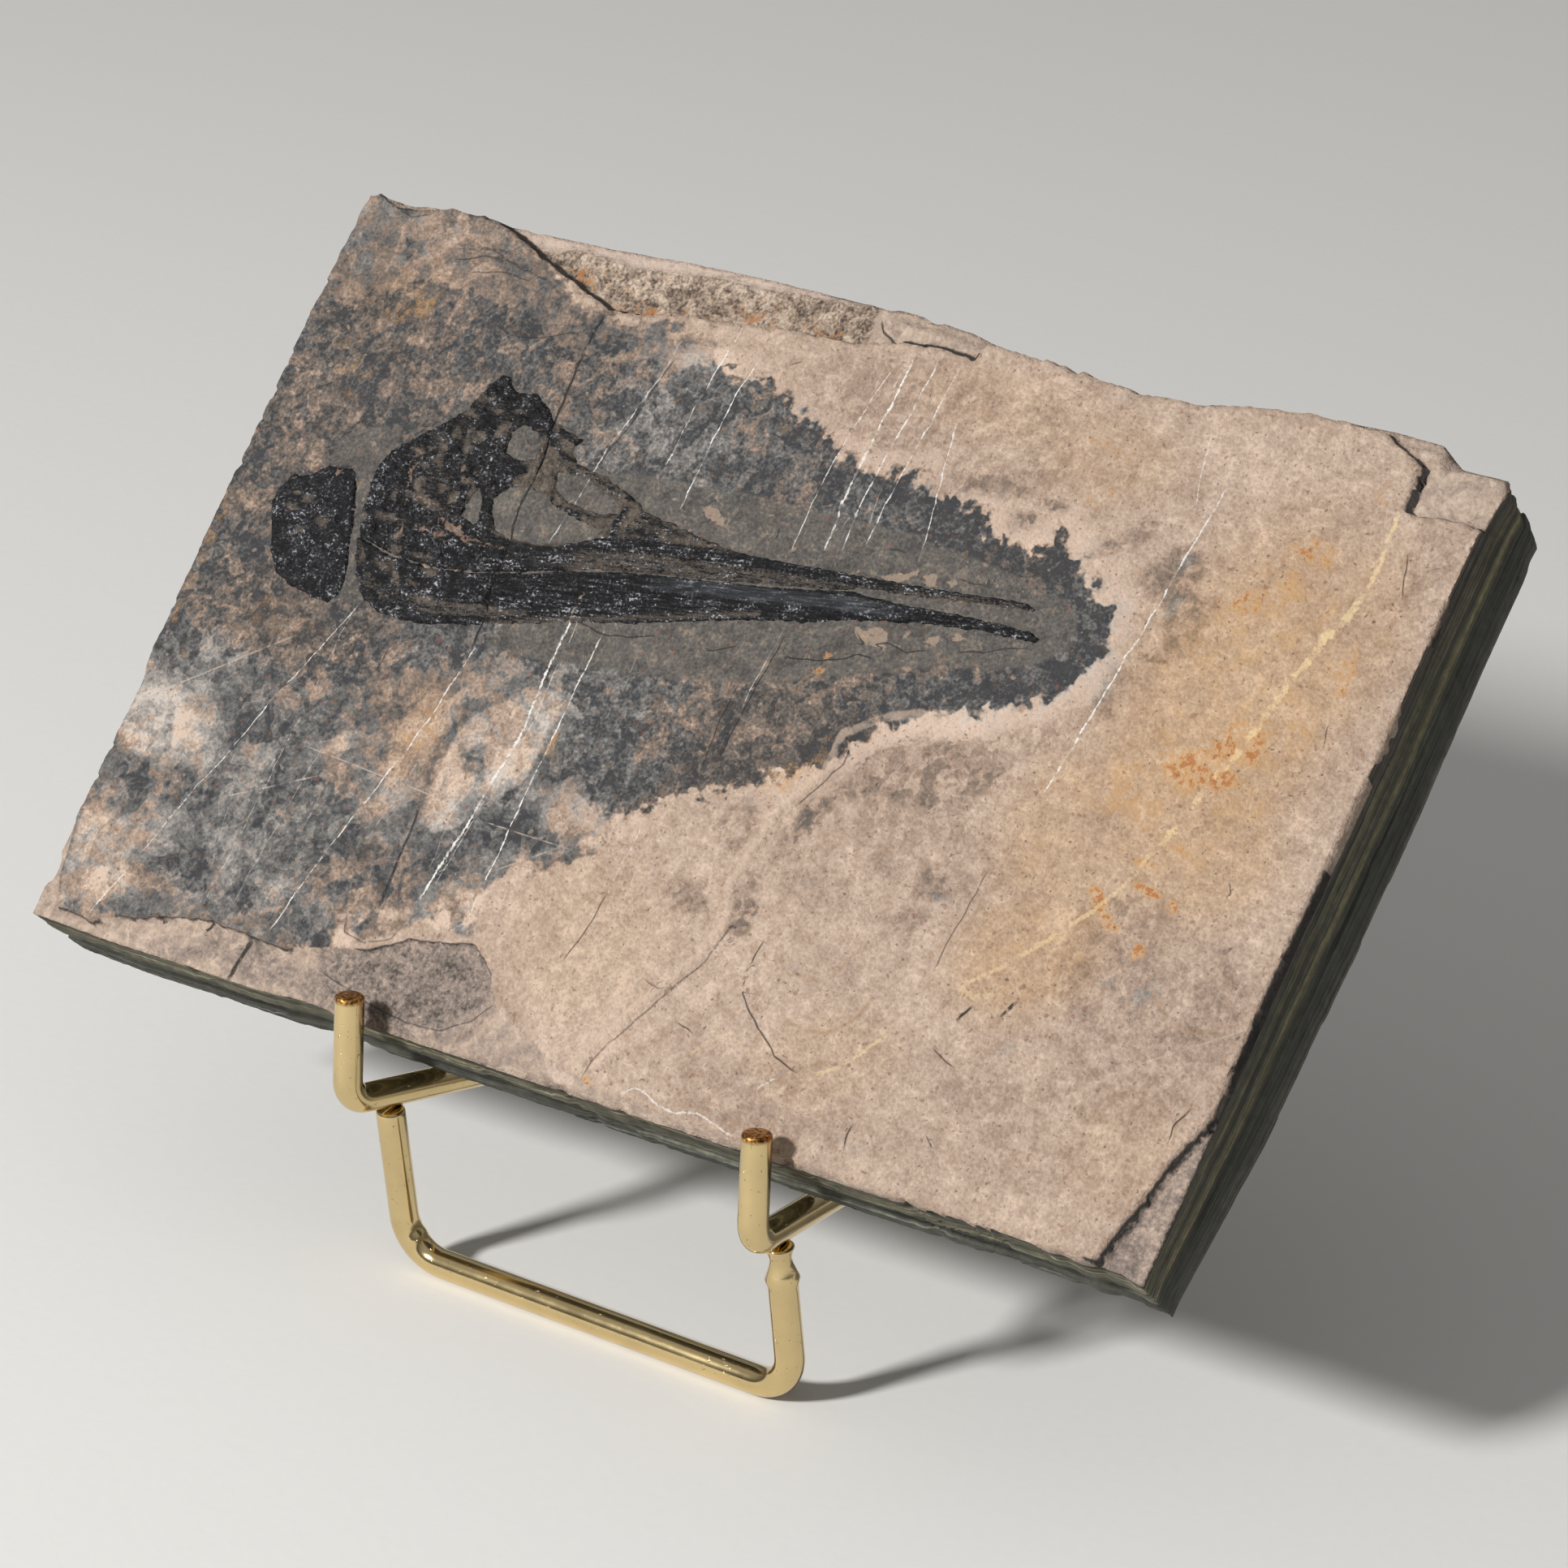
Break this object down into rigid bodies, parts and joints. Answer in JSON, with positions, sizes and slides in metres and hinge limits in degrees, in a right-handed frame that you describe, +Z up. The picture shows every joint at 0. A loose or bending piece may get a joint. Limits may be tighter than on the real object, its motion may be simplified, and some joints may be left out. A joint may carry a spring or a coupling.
{
  "type": "fossil fish slab",
  "caption": "Rectangular slab of layered limestone with a long-snouted fossil fish head in low relief, leaning back in a small brass-plated wire stand.",
  "frame": {"origin": "on the floor, under the middle of the bounding box", "axes": "+X along the slab's long side, to the right seen from the front; -Y towards the viewer, the side the fossil faces; +Z up"},
  "size_m": [0.1531, 0.0768, 0.1006],
  "materials": {
    "limestone": "split along its layers, dull",
    "fossil_bone": "black fossil bone, slightly glossy",
    "brass_plated_wire": "polished brass plating on steel wire"
  },
  "bodies": {
    "root": {"slab": "limestone", "skull": "fossil_bone", "lower_jaw": "fossil_bone", "gill_cover": "fossil_bone", "cradle": "brass_plated_wire", "front_leg": "brass_plated_wire", "back_rest": "brass_plated_wire"}
  },
  "joints": []
}
